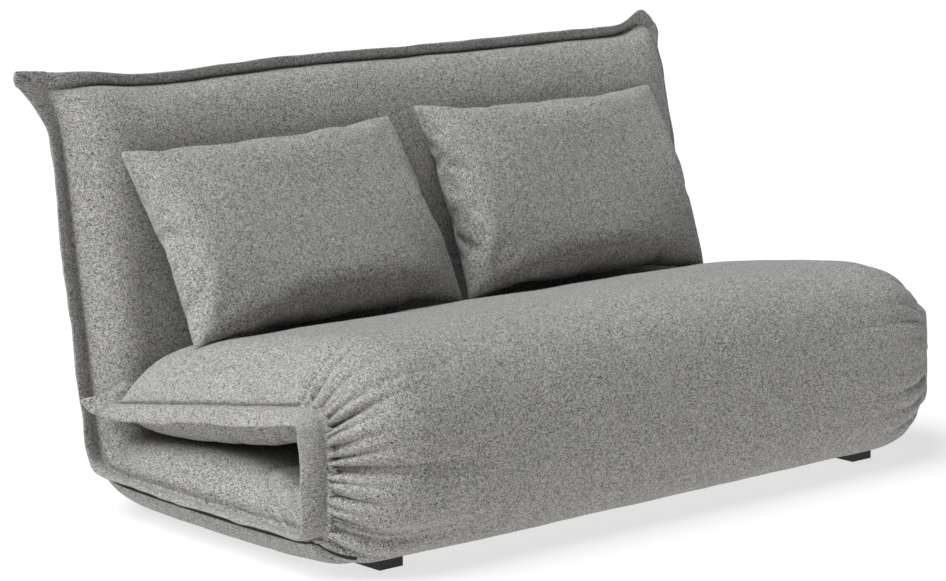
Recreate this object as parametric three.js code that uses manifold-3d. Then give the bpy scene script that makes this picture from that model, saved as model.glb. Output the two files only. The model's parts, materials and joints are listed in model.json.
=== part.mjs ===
// Futon sofa bed: one long padded strip that folds, between three hinge lines, into seat, front, base
// and back. Every section is a bent steel tube frame with webbing, held between two foam halves.
// Millimetres, +Z up, the sofa faces -Y, the floor is z = 0 and the origin is below the middle of its box.
// A section's own frame: Y runs along the strip towards the head of the bed, Z points to the side that
// is slept on, X runs across, and z = 0 is the plane of the steel frame and of the stitched edge.
import * as THREE from "three";
import { mergeVertices } from "three/addons/utils/BufferGeometryUtils.js";
import { ConvexGeometry } from "three/addons/geometries/ConvexGeometry.js";
import Module from "manifold-3d";

const wasm = await Module();
wasm.setup();
const rad = THREE.MathUtils.degToRad;

// The strip
const WIDTH = 1400; // over the stitched edges
const EDGE = 30; // how far the flat stitched edge stands out from the padding
const SEAT_LENGTH = 540;
const FRONT_LENGTH = 188;
const BASE_LENGTH = 580;
const BACK_LENGTH = 610;
const SEAT_SLOPE = 9; // degrees, the seat falls towards the back
const BACK_LEAN = 10; // degrees from upright at rest
const HINGE_HEIGHT = 82; // of the base frame's plane over the floor

// Padding, measured from the frame's plane
const BASE_INNER = 57;
const BASE_OUTER = 72;
const FRONT_INNER = 58;
const FRONT_OUTER = 94;
const SEAT_INNER_FRONT = 60;
const REST_GAP = 3; // between the seat's lower side and the base, where the seat lies on it
const SEAT_OUTER = 75;
const BACK_INNER = 70;
const BACK_INNER_FOOT = 45; // thinner where the seat's rear edge presses into it
const BACK_FOOT_RUN = 230;
const BACK_OUTER = 70;
const PARTING = 2.5; // half the slot between two foam halves, where the stitched edge is held
const PINCH_RUN = 70; // the padding thins towards a stitched edge over this width
const PINCH_HEIGHT = 15;
const MITRE_GAP = 3; // between the mitred ends of two sections
const END_GAP = 1; // from a square foam end to its hinge plane
const SEAT_REAR_CUT = 8; // the seat's padding stops this far before its frame end

// Stitched edge strips
const EDGE_THICKNESS = 4;
const EDGE_HELD = 10; // the width that is held between the foam halves
const EDGE_END_GAP = 5;
const REAR_EDGE = 8; // how far the seat's rear edge stands out behind its padding

// Steel frames
const TUBE = 11; // outer radius
const WALL = 1.5;
const TUBE_INSET = 75; // from the padding's side to the tube's middle
const FRAME_INSET = 35; // from a hinge line to the tube's middle
const BEND = 30; // bend radius of the frame's corners
const CROSS_TUBE = 8;
const DRAIN = 3; // radius of the drain hole, which opens the tube
const TUBE_SIDES = 8;
const BEND_STEPS = 3;
const LOOP_SIDES = 6; // of a strap's loop and of a groove in the foam

// Webbing
const STRAP_WIDTH = 50;
const STRAP = 2;
const STRAP_GAP = 1; // strap to tube
const LONG_STRAPS = 4; // an even number leaves the middle tube free
const CROSS_STRAPS = 2;
const GROOVE_GAP = 1.2; // foam to what lies in it

// Plain hinges at the front's lower and upper corner
const FIT = 0.3; // gap between faces and round a pin
const LUG = 5; // thickness
const LUG_RADIUS = 14;
const LUG_WIDTH = 20;
const LUG_LENGTH = 115;
const FRONT_LUG_LENGTH = FRONT_LENGTH / 2 - FIT; // two of these share one rail of the front
const BOSS_START = 68; // where a lug's boss meets the straight of the rail
const PIN = 4; // radius
const PIN_HEAD = 8;
const PIN_HEAD_HEIGHT = 3;

// Ratchet hinges between base and back
const TEETH = 27; // one tooth is one sixth of the 80 degrees between upright and flat
const WHEEL_TIP = 30;
const WHEEL_ROOT = 26;
const WHEEL = 6; // thickness
const HUB = 10;
const PLATE = 3;
const PLATE_SPACE = 13; // inside the housing
const PLATE_LENGTH = 125;
const PLATE_TOP = 24;
const PLATE_BOTTOM = 14;
const PLATE_RADIUS = 22;
const SPACER_LENGTH = 50;
const RATCHET_PIN = 5;
const PAWL_TOOTH = 15; // the pawl stands in this tooth space, counted from the head side
const PAWL = 5; // thickness
const PAWL_ARM = 28;
const PAWL_OUT = 32; // pivot's distance from the wheel's middle, along the tooth space
const PAWL_PIN = 2.5;
const PAWL_LUG = 6;
const PAWL_TIP_GAP = 0.8;
const SPRING_WIRE = 0.5; // radius
const SPRING_RADIUS = 4.4;
const SPRING_TURNS = 3;
const SPRING_PITCH = 1.4;

// Feet and zip
const FOOT_WIDTH = 46;
const FOOT_DEPTH = 60;
const FOOT_HEIGHT = 30;
const FOOT_X = 530;
const FOOT_STEM = 7;
const FOOT_GAP = 3;
const ZIP_WIDTH = 7;
const ZIP_THICKNESS = 2;
const ZIP_DROP = 8; // below the stitched edge
const ZIP_INSET = 40;

// Loose pillows
const PILLOW_WIDTH = 570;
const PILLOW_HEIGHT = 350;
const PILLOW_FRONT = 72; // from the seam plane
const PILLOW_REAR = 36; // flatter where it leans on the back
const PILLOW_EDGE = 4;
const PILLOW_FACE = 0.4; // the full part of a pillow, as a share of its width and height
const PILLOW_SEAT_GAP = 6;
const PILLOW_BACK_GAP = 12;
const PILLOWS = [
  { name: "pillow_left", x: -325, lean: 32.5 },
  { name: "pillow_right", x: 288, lean: 26 },
];

const PAD_X = WIDTH / 2 - EDGE;
const RAIL_X = PAD_X - TUBE_INSET;
const PLATE_X = RAIL_X + TUBE + FIT; // inner face of all hinge plates
const SEAT_INNER_REAR =
  (FRONT_LENGTH - SEAT_LENGTH * Math.sin(rad(SEAT_SLOPE)) - BASE_INNER - REST_GAP) /
  Math.cos(rad(SEAT_SLOPE));

function material(color, roughness, metalness) {
  return new THREE.MeshStandardMaterial({ color, roughness, metalness });
}

const fabric = material(0x8c8a87, 0.95, 0);
const foam = material(0x8c8a87, 0.95, 0);
const steel = material(0x2b2d30, 0.45, 0.9);
const zinc = material(0xb4b8bb, 0.35, 1);
const webbing = material(0x1e1f21, 0.9, 0);
const plastic = material(0x231d1b, 0.6, 0);
const zipper = material(0x15161a, 0.6, 0);

// ---- solids ----

function solid(geometry) {
  const g = geometry.index ? geometry.toNonIndexed() : geometry.clone();
  g.deleteAttribute("normal");
  g.deleteAttribute("uv");
  const m = mergeVertices(g, 1e-4);
  return new wasm.Manifold(
    new wasm.Mesh({
      numProp: 3,
      vertProperties: m.attributes.position.array,
      triVerts: new Uint32Array(m.index.array),
    }),
  );
}

function meshOf(name, shape, finish) {
  const { numProp, numVert, vertProperties, triVerts } = shape.getMesh();
  const positions = new Float32Array(numVert * 3);
  for (let i = 0; i < numVert; i++)
    positions.set(vertProperties.subarray(i * numProp, i * numProp + 3), i * 3);
  const g = new THREE.BufferGeometry();
  g.setAttribute("position", new THREE.BufferAttribute(positions, 3));
  g.setIndex(new THREE.BufferAttribute(new Uint32Array(triVerts), 1));
  const flat = g.toNonIndexed();
  flat.computeVertexNormals();
  const mesh = new THREE.Mesh(flat, finish);
  mesh.name = name;
  return mesh;
}

function join(shapes) {
  return shapes.reduce((a, b) => a.add(b));
}

function block(x0, x1, y0, y1, z0, z1) {
  const [xa, xb] = x0 < x1 ? [x0, x1] : [x1, x0];
  const g = new THREE.BoxGeometry(xb - xa, y1 - y0, z1 - z0);
  return solid(g.translate((xa + xb) / 2, (y0 + y1) / 2, (z0 + z1) / 2));
}

function rod(from, to, radius, sides = TUBE_SIDES) {
  const a = new THREE.Vector3(...from);
  const along = new THREE.Vector3(...to).sub(a);
  const g = new THREE.CylinderGeometry(radius, radius, along.length(), sides);
  g.translate(0, along.length() / 2, 0);
  const turn = new THREE.Quaternion().setFromUnitVectors(
    new THREE.Vector3(0, 1, 0),
    along.clone().normalize(),
  );
  return solid(g.applyQuaternion(turn).translate(a.x, a.y, a.z));
}

// An outline in a section's Y-Z plane, carried from x0 to x1.
function prism(outline, x0, x1) {
  const shape = new THREE.Shape(outline.map(([y, z]) => new THREE.Vector2(y, z)));
  const g = new THREE.ExtrudeGeometry(shape, { depth: Math.abs(x1 - x0), bevelEnabled: false });
  const axes = new THREE.Matrix4().makeBasis(
    new THREE.Vector3(0, 1, 0),
    new THREE.Vector3(0, 0, 1),
    new THREE.Vector3(1, 0, 0),
  );
  return solid(g.applyMatrix4(axes).translate(Math.min(x0, x1), 0, 0));
}

// A polygon whose flats, and so all of it, stay outside the given radius.
function around(radius, sides) {
  return radius / Math.cos(Math.PI / sides);
}

class Bend extends THREE.Curve {
  constructor(x, y, radius, start) {
    super();
    Object.assign(this, { x, y, radius, start });
  }
  getPoint(t, target = new THREE.Vector3()) {
    const a = this.start + (t * Math.PI) / 2;
    return target.set(this.x + this.radius * Math.cos(a), this.y + this.radius * Math.sin(a), 0);
  }
}

function circle(radius, sides) {
  const points = [];
  for (let i = 0; i < sides; i++) {
    const a = (2 * Math.PI * i) / sides;
    points.push(new THREE.Vector2(radius * Math.cos(a), radius * Math.sin(a)));
  }
  return new THREE.Shape(points);
}

// ---- steel frames and webbing ----

function frameLoop(length, radius, sides) {
  const x = RAIL_X - BEND;
  const low = FRAME_INSET + BEND;
  const high = length - FRAME_INSET - BEND;
  const lap = 1;
  const parts = [
    rod([-x - lap, FRAME_INSET, 0], [x + lap, FRAME_INSET, 0], radius, sides),
    rod([-x - lap, length - FRAME_INSET, 0], [x + lap, length - FRAME_INSET, 0], radius, sides),
    rod([-RAIL_X, low - lap, 0], [-RAIL_X, high + lap, 0], radius, sides),
    rod([RAIL_X, low - lap, 0], [RAIL_X, high + lap, 0], radius, sides),
  ];
  const corners = [
    [x, high, 0],
    [-x, high, Math.PI / 2],
    [-x, low, Math.PI],
    [x, low, (3 * Math.PI) / 2],
  ];
  for (const [cx, cy, start] of corners) {
    const options = { extrudePath: new Bend(cx, cy, BEND, start), steps: BEND_STEPS, bevelEnabled: false };
    parts.push(solid(new THREE.ExtrudeGeometry(circle(radius, sides), options)));
  }
  return join(parts);
}

function crossTube(length, radius, sides) {
  return rod([0, FRAME_INSET, 0], [0, length - FRAME_INSET, 0], radius, sides);
}

// One welded frame: the bent loop and a middle tube, hollow, with a drain hole in its end tube.
function frame(length) {
  const outside = frameLoop(length, TUBE, TUBE_SIDES).add(crossTube(length, CROSS_TUBE, TUBE_SIDES));
  const inside = frameLoop(length, TUBE - WALL, TUBE_SIDES).add(
    crossTube(length, CROSS_TUBE - WALL, TUBE_SIDES),
  );
  const drainX = RAIL_X / 2;
  return outside
    .subtract(inside)
    .subtract(rod([drainX, FRAME_INSET, 0], [drainX, FRAME_INSET, -2 * TUBE], DRAIN, 8));
}

function longStrapsX() {
  const pitch = (2 * RAIL_X) / (LONG_STRAPS + 1);
  return Array.from({ length: LONG_STRAPS }, (_, i) => -RAIL_X + pitch * (i + 1));
}

function crossStrapsY(length) {
  const pitch = (length - 2 * FRAME_INSET) / (CROSS_STRAPS + 1);
  return Array.from({ length: CROSS_STRAPS }, (_, i) => FRAME_INSET + pitch * (i + 1));
}

// Elastic webbing stitched where it crosses, each end looped round a frame tube.
function straps(length) {
  const inner = TUBE + STRAP_GAP;
  const outer = inner + STRAP;
  const half = STRAP_WIDTH / 2;
  const far = length - FRAME_INSET;
  const parts = [];
  const hollows = [];
  const loop = (from, to) => {
    parts.push(rod(from, to, around(outer, LOOP_SIDES), LOOP_SIDES));
    hollows.push(rod(from, to, around(inner, LOOP_SIDES), LOOP_SIDES));
  };
  for (const x of longStrapsX()) {
    parts.push(block(x - half, x + half, FRAME_INSET, far, inner, outer));
    for (const y of [FRAME_INSET, far]) loop([x - half, y, 0], [x + half, y, 0]);
  }
  for (const y of crossStrapsY(length)) {
    parts.push(block(-RAIL_X, RAIL_X, y - half, y + half, inner, outer));
    for (const x of [-RAIL_X, RAIL_X]) loop([x, y - half, 0], [x, y + half, 0]);
  }
  return join(parts).subtract(join(hollows));
}

// The room that a frame and its webbing take out of the foam.
function frameRoom(length, webbed) {
  const reach = around(TUBE + STRAP_GAP + STRAP, LOOP_SIDES) + GROOVE_GAP;
  const half = STRAP_WIDTH / 2 + GROOVE_GAP;
  const room = [frameLoop(length, around(reach, LOOP_SIDES), LOOP_SIDES)];
  room.push(crossTube(length, around(CROSS_TUBE + GROOVE_GAP, LOOP_SIDES), LOOP_SIDES));
  if (webbed) {
    for (const x of longStrapsX())
      room.push(block(x - half, x + half, FRAME_INSET, length - FRAME_INSET, 0, reach));
    for (const y of crossStrapsY(length))
      room.push(block(-RAIL_X, RAIL_X, y - half, y + half, 0, reach));
  }
  return join(room);
}

// ---- hinge hardware, on the side given by 1 (right) or -1 (left) ----

function disc(radius, x0, x1, y = 0, z = 0, sides = 16) {
  const [a, b] = x0 < x1 ? [x0, x1] : [x1, x0];
  return rod([a, y, z], [b, y, z], radius, sides);
}

// A lug with its eye at y = 0 and its arm towards +Y (way 1) or -Y (way -1).
function lug(side, way, layer, length = LUG_LENGTH) {
  const x0 = PLATE_X + layer * (LUG + FIT);
  const x1 = x0 + LUG;
  const run = (a, b) => (way > 0 ? [a, b] : [-b, -a]);
  const half = LUG_WIDTH / 2;
  const arm = block(side * x0, side * x1, ...run(0, length), -half, half);
  let shape = arm.add(disc(LUG_RADIUS, side * x0, side * x1));
  if (layer)
    shape = shape.add(
      block(side * PLATE_X, side * (x0 + 1), ...run(BOSS_START, length), -half, half),
    );
  return shape.subtract(disc(PIN + FIT, side * (x0 - 1), side * (x1 + 1)));
}

function hingePin(side) {
  const x0 = PLATE_X - FIT;
  const x1 = PLATE_X + 2 * LUG + 2 * FIT;
  return join([
    disc(PIN, side * (x0 - 1), side * (x1 + 1)),
    disc(PIN_HEAD, side * (x0 - PIN_HEAD_HEIGHT), side * x0),
    disc(PIN_HEAD, side * x1, side * (x1 + PIN_HEAD_HEIGHT)),
  ]);
}

// The room of a plain hinge at y = 0 and of its arm on one side.
function lugRoom(way) {
  const x0 = PLATE_X - PIN_HEAD_HEIGHT - 2 * FIT - GROOVE_GAP;
  const x1 = PLATE_X + 2 * LUG + PIN_HEAD_HEIGHT + 3 * FIT + GROOVE_GAP;
  const half = LUG_WIDTH / 2 + GROOVE_GAP;
  const end = LUG_LENGTH + GROOVE_GAP;
  const radius = around(LUG_RADIUS + GROOVE_GAP, 12);
  const [y0, y1] = way > 0 ? [0, end] : [-end, 0];
  return join(
    [1, -1].flatMap((side) => [
      disc(radius, side * x0, side * x1, 0, 0, 12),
      block(side * x0, side * x1, y0, y1, -half, half),
    ]),
  );
}

const WHEEL_X = PLATE_X + PLATE + 2 * FIT;
const HOUSING_END = PLATE_X + 2 * PLATE + PLATE_SPACE;
const TOOTH_ANGLE = 360 / TEETH;

// Places round the ratchet axle: along the pawl's tooth space, and across it.
function pawlPivot() {
  const a = rad(PAWL_TOOTH * TOOTH_ANGLE);
  return [
    PAWL_OUT * Math.cos(a) + PAWL_ARM * Math.sin(a),
    PAWL_OUT * Math.sin(a) - PAWL_ARM * Math.cos(a),
  ];
}

function ratchetHousing(side) {
  const plate = (x0) =>
    block(side * x0, side * (x0 + PLATE), -PLATE_LENGTH, 0, -PLATE_BOTTOM, PLATE_TOP).add(
      disc(PLATE_RADIUS, side * x0, side * (x0 + PLATE)),
    );
  const outer = HOUSING_END - PLATE;
  const spacer = block(
    side * (PLATE_X + 1),
    side * (HOUSING_END - 1),
    -PLATE_LENGTH,
    -PLATE_LENGTH + SPACER_LENGTH,
    -PLATE_BOTTOM,
    PLATE_TOP,
  );
  const [y, z] = pawlPivot();
  return join([plate(PLATE_X), plate(outer), spacer])
    .subtract(disc(RATCHET_PIN + FIT, side * (PLATE_X - 1), side * (HOUSING_END + 1)))
    .subtract(disc(PAWL_PIN + FIT, side * (PLATE_X - 1), side * (HOUSING_END + 1), y, z, 12));
}

function ratchetPin(side) {
  const x0 = PLATE_X - FIT;
  const x1 = HOUSING_END + FIT;
  return join([
    disc(RATCHET_PIN, side * (x0 - 1), side * (x1 + 1)),
    disc(PIN_HEAD, side * (x0 - PIN_HEAD_HEIGHT), side * x0),
    disc(PIN_HEAD, side * x1, side * (x1 + PIN_HEAD_HEIGHT)),
  ]);
}

// The toothed wheel and its arm, which is welded to the back frame's rail.
function ratchetWheel(side) {
  const outline = [];
  const flank = 0.35 * TOOTH_ANGLE;
  for (let i = 0; i < TEETH; i++) {
    const steps = [
      [0, WHEEL_ROOT],
      [flank, WHEEL_TIP],
      [TOOTH_ANGLE - flank, WHEEL_TIP],
    ];
    for (const [turn, radius] of steps) {
      const a = rad(i * TOOTH_ANGLE + turn);
      outline.push([radius * Math.cos(a), radius * Math.sin(a)]);
    }
  }
  const x0 = side * WHEEL_X;
  const x1 = side * (WHEEL_X + WHEEL);
  const half = LUG_WIDTH / 2;
  const hubEnd = side * (HOUSING_END - PLATE - FIT);
  return join([
    prism(outline, x0, x1),
    disc(HUB, x0, hubEnd),
    block(x0, x1, 0, LUG_LENGTH, -half, half),
    block(side * PLATE_X, side * (WHEEL_X + 1), BOSS_START, LUG_LENGTH, -half, half),
  ]).subtract(disc(RATCHET_PIN + FIT, side * (WHEEL_X - 1), hubEnd + side));
}

// The pawl: an eye on its pin and a wedge that stands in the tooth space.
function pawl(side) {
  const a = rad(PAWL_TOOTH * TOOTH_ANGLE);
  const at = (out, across) => [
    out * Math.cos(a) + across * Math.sin(a),
    out * Math.sin(a) - across * Math.cos(a),
  ];
  const tip = WHEEL_ROOT + PAWL_TIP_GAP;
  const clear = WHEEL_TIP + PAWL_TIP_GAP;
  const outline = [
    at(tip, 0),
    at(clear, -1.6),
    at(clear + 7, -1.6),
    at(PAWL_OUT + PAWL_LUG - 1, PAWL_ARM),
    at(PAWL_OUT - 1, PAWL_ARM),
    at(clear + 1, 5),
    at(clear, 1.6),
  ];
  const x0 = WHEEL_X + FIT;
  const [y, z] = pawlPivot();
  return prism(outline, side * x0, side * (x0 + PAWL))
    .add(disc(PAWL_LUG, side * x0, side * (x0 + PAWL), y, z, 16))
    .subtract(disc(PAWL_PIN + FIT, side * (x0 - 1), side * (x0 + PAWL + 1), y, z, 12));
}

function pawlPin(side) {
  const [y, z] = pawlPivot();
  const end = HOUSING_END + FIT;
  return disc(PAWL_PIN, side * PLATE_X, side * (end + 1), y, z, 12).add(
    disc(PAWL_PIN + 1.5, side * end, side * (end + 1.5), y, z, 12),
  );
}

class Coil extends THREE.Curve {
  constructor(x, y, z, side) {
    super();
    Object.assign(this, { x, y, z, side });
  }
  getPoint(t, target = new THREE.Vector3()) {
    const a = 2 * Math.PI * SPRING_TURNS * t;
    return target.set(
      this.x + this.side * SPRING_PITCH * SPRING_TURNS * t,
      this.y + SPRING_RADIUS * Math.cos(a),
      this.z + SPRING_RADIUS * Math.sin(a),
    );
  }
}

function pawlSpring(side) {
  const [y, z] = pawlPivot();
  const x = side * (WHEEL_X + FIT + PAWL + FIT + SPRING_WIRE);
  const options = {
    extrudePath: new Coil(x, y, z, side),
    steps: 8 * SPRING_TURNS,
    bevelEnabled: false,
  };
  return solid(new THREE.ExtrudeGeometry(circle(SPRING_WIRE, 6), options));
}

// The room round the ratchet, and round the housing (way -1) or the arm (way 1).
function ratchetRoom(way) {
  const x0 = PLATE_X - PIN_HEAD_HEIGHT - 2 * FIT - GROOVE_GAP;
  const x1 = HOUSING_END + PIN_HEAD_HEIGHT + 2 * FIT + GROOVE_GAP;
  const half = LUG_WIDTH / 2 + GROOVE_GAP;
  const radius = around(WHEEL_TIP + GROOVE_GAP + 2, 12);
  return join(
    [1, -1].flatMap((side) => [
      disc(radius, side * x0, side * x1, 0, 0, 12),
      way > 0
        ? block(side * x0, side * x1, 0, LUG_LENGTH + GROOVE_GAP, -half, half)
        : block(
            side * x0,
            side * x1,
            -PLATE_LENGTH - GROOVE_GAP,
            0,
            -PLATE_BOTTOM - GROOVE_GAP,
            PLATE_TOP + GROOVE_GAP,
          ),
    ]),
  );
}

// ---- padding ----

// Thins a foam half towards the stitched edges at its two sides.
function pinchedSides(height, length) {
  const outline = [
    [PAD_X, 0],
    [PAD_X, PINCH_HEIGHT],
    [PAD_X - PINCH_RUN, height + 1],
    [-PAD_X + PINCH_RUN, height + 1],
    [-PAD_X, PINCH_HEIGHT],
    [-PAD_X, 0],
  ];
  const shape = new THREE.Shape(outline.map(([x, z]) => new THREE.Vector2(x, z)));
  const g = new THREE.ExtrudeGeometry(shape, { depth: 3 * length, bevelEnabled: false });
  return solid(g.rotateX(Math.PI / 2).translate(0, 2 * length, 0));
}

// A foam half on the sleeping side (way 1) or the outer side (way -1) from an outline in Y and height.
function foamHalf(way, outline, length, rooms) {
  const height = Math.max(...outline.map(([, z]) => z));
  let half = prism(outline, -PAD_X, PAD_X).intersect(pinchedSides(height, length));
  if (way < 0) half = half.mirror([0, 0, 1]);
  return rooms.reduce((shape, room) => shape.subtract(room), half);
}

// Where the mitred end of the sleeping side stands, for a fold with this angle between the sections.
function mitre(height, fold) {
  return MITRE_GAP + height / Math.tan(rad(fold / 2));
}

const FOLD_SEAT = 90 - SEAT_SLOPE;
const FOLD_FRONT = 90;
const FOLD_BACK = 90 + BACK_LEAN;

// A flat stitched strip along one side of a section.
function sideEdge(side, length) {
  const t = EDGE_THICKNESS / 2;
  const x0 = PAD_X - EDGE_HELD;
  return block(side * x0, side * (WIDTH / 2), EDGE_END_GAP, length - EDGE_END_GAP, -t, t);
}

// The same strip round both sides and one end, which lies at y = end and stands out by reach.
function wrappedEdge(from, end, reach) {
  const way = Math.sign(end - from);
  const t = EDGE_THICKNESS / 2;
  const run = (a, b) => (a < b ? [a, b] : [b, a]);
  const sides = [1, -1].map((side) =>
    block(
      side * (PAD_X - EDGE_HELD),
      side * (WIDTH / 2),
      ...run(from, end + way * reach),
      -t,
      t,
    ),
  );
  const across = block(-PAD_X, PAD_X, ...run(end - way * EDGE_HELD, end + way * reach), -t, t);
  return join([...sides, across]);
}

// ---- sections ----

function section(y, z, turn) {
  const group = new THREE.Group();
  group.position.set(0, y, z);
  group.rotation.x = rad(turn);
  return group;
}

const moveY = (shape, y) => shape.translate([0, y, 0]);

function foot(side, y) {
  const half = FOOT_WIDTH / 2;
  const x = side * FOOT_X;
  const top = FOOT_HEIGHT - HINGE_HEIGHT;
  const pad = block(x - half, x + half, y - FOOT_DEPTH / 2, y + FOOT_DEPTH / 2, -HINGE_HEIGHT, top);
  return pad.add(rod([x, y, top - 1], [x, y, -TUBE - FIT], FOOT_STEM));
}

function footRoom(side, y) {
  const half = FOOT_WIDTH / 2 + FOOT_GAP;
  const deep = FOOT_DEPTH / 2 + FOOT_GAP;
  const x = side * FOOT_X;
  const top = FOOT_HEIGHT - HINGE_HEIGHT + FOOT_GAP;
  const pad = block(x - half, x + half, y - deep, y + deep, -2 * HINGE_HEIGHT, top);
  return pad.add(rod([x, y, top - 1], [x, y, 0], around(FOOT_STEM + GROOVE_GAP, 12)));
}

const SIDES = [
  ["left", -1],
  ["right", 1],
];
const FOOT_ROWS = [
  ["front", FRAME_INSET],
  ["rear", BASE_LENGTH - FRAME_INSET],
];

function zipStrip() {
  const x = -(PAD_X + FIT);
  const top = -PARTING - ZIP_DROP + ZIP_WIDTH;
  return block(x - ZIP_THICKNESS, x, ZIP_INSET, BASE_LENGTH - ZIP_INSET, top - ZIP_WIDTH, top);
}

function baseSection() {
  const group = section(0, HINGE_HEIGHT, 0);
  const L = BASE_LENGTH;
  const rooms = [frameRoom(L, true), lugRoom(1), moveY(ratchetRoom(-1), L)];
  const upper = [
    [mitre(PARTING, FOLD_FRONT), PARTING],
    [L - mitre(PARTING, FOLD_BACK), PARTING],
    [L - mitre(BASE_INNER, FOLD_BACK), BASE_INNER],
    [mitre(BASE_INNER, FOLD_FRONT), BASE_INNER],
  ];
  const lower = [
    [END_GAP, PARTING],
    [L - END_GAP, PARTING],
    [L - END_GAP, BASE_OUTER],
    [END_GAP, BASE_OUTER],
  ];
  const feet = FOOT_ROWS.flatMap(([, y]) => [footRoom(1, y), footRoom(-1, y)]);
  group.add(meshOf("base_frame", frame(L), steel));
  group.add(meshOf("base_webbing", straps(L), webbing));
  group.add(meshOf("base_foam_upper", foamHalf(1, upper, L, rooms), foam));
  group.add(meshOf("base_foam_lower", foamHalf(-1, lower, L, [...rooms, ...feet]), foam));
  group.add(meshOf("base_zip", zipStrip(), zipper));
  for (const [name, side] of SIDES) {
    group.add(meshOf(`base_edge_${name}`, sideEdge(side, L), fabric));
    group.add(meshOf(`front_hinge_lug_base_${name}`, lug(side, 1, 0), zinc));
    group.add(meshOf(`front_hinge_pin_${name}`, hingePin(side), zinc));
    group.add(meshOf(`ratchet_housing_${name}`, moveY(ratchetHousing(side), L), zinc));
    group.add(meshOf(`ratchet_axle_${name}`, moveY(ratchetPin(side), L), zinc));
    group.add(meshOf(`pawl_${name}`, moveY(pawl(side), L), steel));
    group.add(meshOf(`pawl_pin_${name}`, moveY(pawlPin(side), L), zinc));
    group.add(meshOf(`pawl_spring_${name}`, moveY(pawlSpring(side), L), zinc));
    for (const [row, y] of FOOT_ROWS)
      group.add(meshOf(`foot_${row}_${name}`, foot(side, y), plastic));
  }
  return group;
}

function backSection() {
  const group = section(BASE_LENGTH, HINGE_HEIGHT, 90 - BACK_LEAN);
  const L = BACK_LENGTH;
  const rooms = [frameRoom(L, true), ratchetRoom(1)];
  const inner = [
    [mitre(PARTING, FOLD_BACK), PARTING],
    [L, PARTING],
    [L, PINCH_HEIGHT],
    [L - PINCH_RUN, BACK_INNER],
    [BACK_FOOT_RUN, BACK_INNER],
    [mitre(BACK_INNER_FOOT, FOLD_BACK), BACK_INNER_FOOT],
  ];
  const outer = [
    [END_GAP, PARTING],
    [L, PARTING],
    [L, PINCH_HEIGHT],
    [L - PINCH_RUN, BACK_OUTER],
    [END_GAP, BACK_OUTER],
  ];
  group.add(meshOf("back_frame", frame(L), steel));
  group.add(meshOf("back_webbing", straps(L), webbing));
  group.add(meshOf("back_foam_front", foamHalf(1, inner, L, rooms), foam));
  group.add(meshOf("back_foam_rear", foamHalf(-1, outer, L, rooms), foam));
  group.add(meshOf("back_edge", wrappedEdge(EDGE_END_GAP, L, EDGE), fabric));
  for (const [name, side] of SIDES)
    group.add(meshOf(`ratchet_wheel_${name}`, ratchetWheel(side), steel));
  return group;
}

function frontSection() {
  const group = section(0, HINGE_HEIGHT + FRONT_LENGTH, -90);
  const L = FRONT_LENGTH;
  const rooms = [frameRoom(L, false), lugRoom(1), moveY(lugRoom(-1), L)];
  const inner = [
    [mitre(PARTING, FOLD_SEAT), PARTING],
    [L - mitre(PARTING, FOLD_FRONT), PARTING],
    [L - mitre(FRONT_INNER, FOLD_FRONT), FRONT_INNER],
    [mitre(FRONT_INNER, FOLD_SEAT), FRONT_INNER],
  ];
  const outer = [
    [END_GAP, PARTING],
    [L - END_GAP, PARTING],
    [L - END_GAP, FRONT_OUTER],
    [END_GAP, FRONT_OUTER],
  ];
  group.add(meshOf("front_frame", frame(L), steel));
  group.add(meshOf("front_foam_inner", foamHalf(1, inner, L, rooms), foam));
  group.add(meshOf("front_foam_outer", foamHalf(-1, outer, L, rooms), foam));
  for (const [name, side] of SIDES) {
    group.add(meshOf(`front_edge_${name}`, sideEdge(side, L), fabric));
    group.add(meshOf(`front_hinge_lug_front_${name}`, moveY(lug(side, -1, 1, FRONT_LUG_LENGTH), L), zinc));
    group.add(meshOf(`seat_hinge_lug_front_${name}`, lug(side, 1, 0, FRONT_LUG_LENGTH), zinc));
    group.add(meshOf(`seat_hinge_pin_${name}`, hingePin(side), zinc));
  }
  return group;
}

function seatSection() {
  const reach = SEAT_LENGTH * Math.cos(rad(SEAT_SLOPE));
  const fall = SEAT_LENGTH * Math.sin(rad(SEAT_SLOPE));
  const group = section(reach, HINGE_HEIGHT + FRONT_LENGTH - fall, 180 - SEAT_SLOPE);
  const L = SEAT_LENGTH;
  const rooms = [frameRoom(L, true), moveY(lugRoom(-1), L)];
  const rear = SEAT_REAR_CUT;
  const lower = [
    [rear, PARTING],
    [L - mitre(PARTING, FOLD_SEAT), PARTING],
    [L - mitre(SEAT_INNER_FRONT, FOLD_SEAT), SEAT_INNER_FRONT],
    [rear + PINCH_RUN / 2, SEAT_INNER_REAR],
    [rear, SEAT_INNER_REAR - PINCH_HEIGHT / 2],
  ];
  const upper = [
    [rear, PARTING],
    [L - END_GAP, PARTING],
    [L - END_GAP, SEAT_OUTER],
    [rear + PINCH_RUN, SEAT_OUTER],
    [rear, PINCH_HEIGHT],
  ];
  group.add(meshOf("seat_frame", frame(L), steel));
  group.add(meshOf("seat_webbing", straps(L), webbing));
  group.add(meshOf("seat_foam_lower", foamHalf(1, lower, L, rooms), foam));
  group.add(meshOf("seat_foam_upper", foamHalf(-1, upper, L, rooms), foam));
  group.add(meshOf("seat_edge", wrappedEdge(L - EDGE_END_GAP, rear, REAR_EDGE), fabric));
  for (const [name, side] of SIDES)
    group.add(meshOf(`seat_hinge_lug_seat_${name}`, moveY(lug(side, -1, 1), L), zinc));
  return group;
}

// ---- pillows ----

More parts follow.
